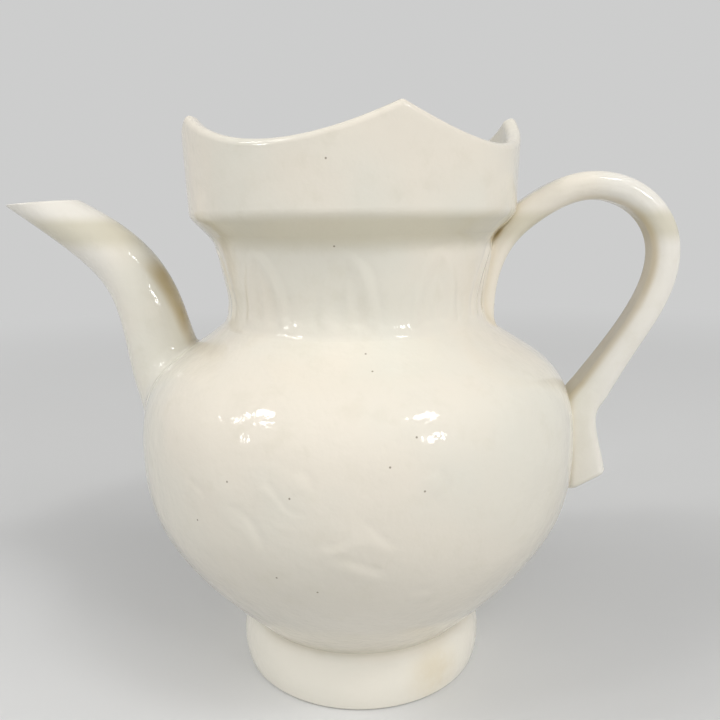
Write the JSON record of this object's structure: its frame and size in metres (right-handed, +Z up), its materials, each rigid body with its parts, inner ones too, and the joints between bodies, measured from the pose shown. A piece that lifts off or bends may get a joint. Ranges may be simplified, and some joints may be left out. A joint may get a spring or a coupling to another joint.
{
  "type": "porcelain ewer",
  "caption": "Small porcelain ewer with a flower-lobed mouth cup, curved hollow spout and looped strap handle, for pouring wine or water.",
  "frame": {"origin": "centre of the foot on the surface the ewer stands on", "axes": "+Z up along the axis of the vessel, +X towards the handle with the spout at -X, so -Y is the side seen in the picture"},
  "size_m": [0.1481, 0.0968, 0.1239],
  "materials": {
    "glaze": "gloss ivory glaze"
  },
  "bodies": {
    "root": {"foot_ring": "glaze", "lower_bowl": "glaze", "upper_bowl": "glaze", "neck": "glaze", "mouth_cup": "glaze", "spout": "glaze", "handle_strap": "glaze", "handle_tail": "glaze"}
  },
  "joints": []
}
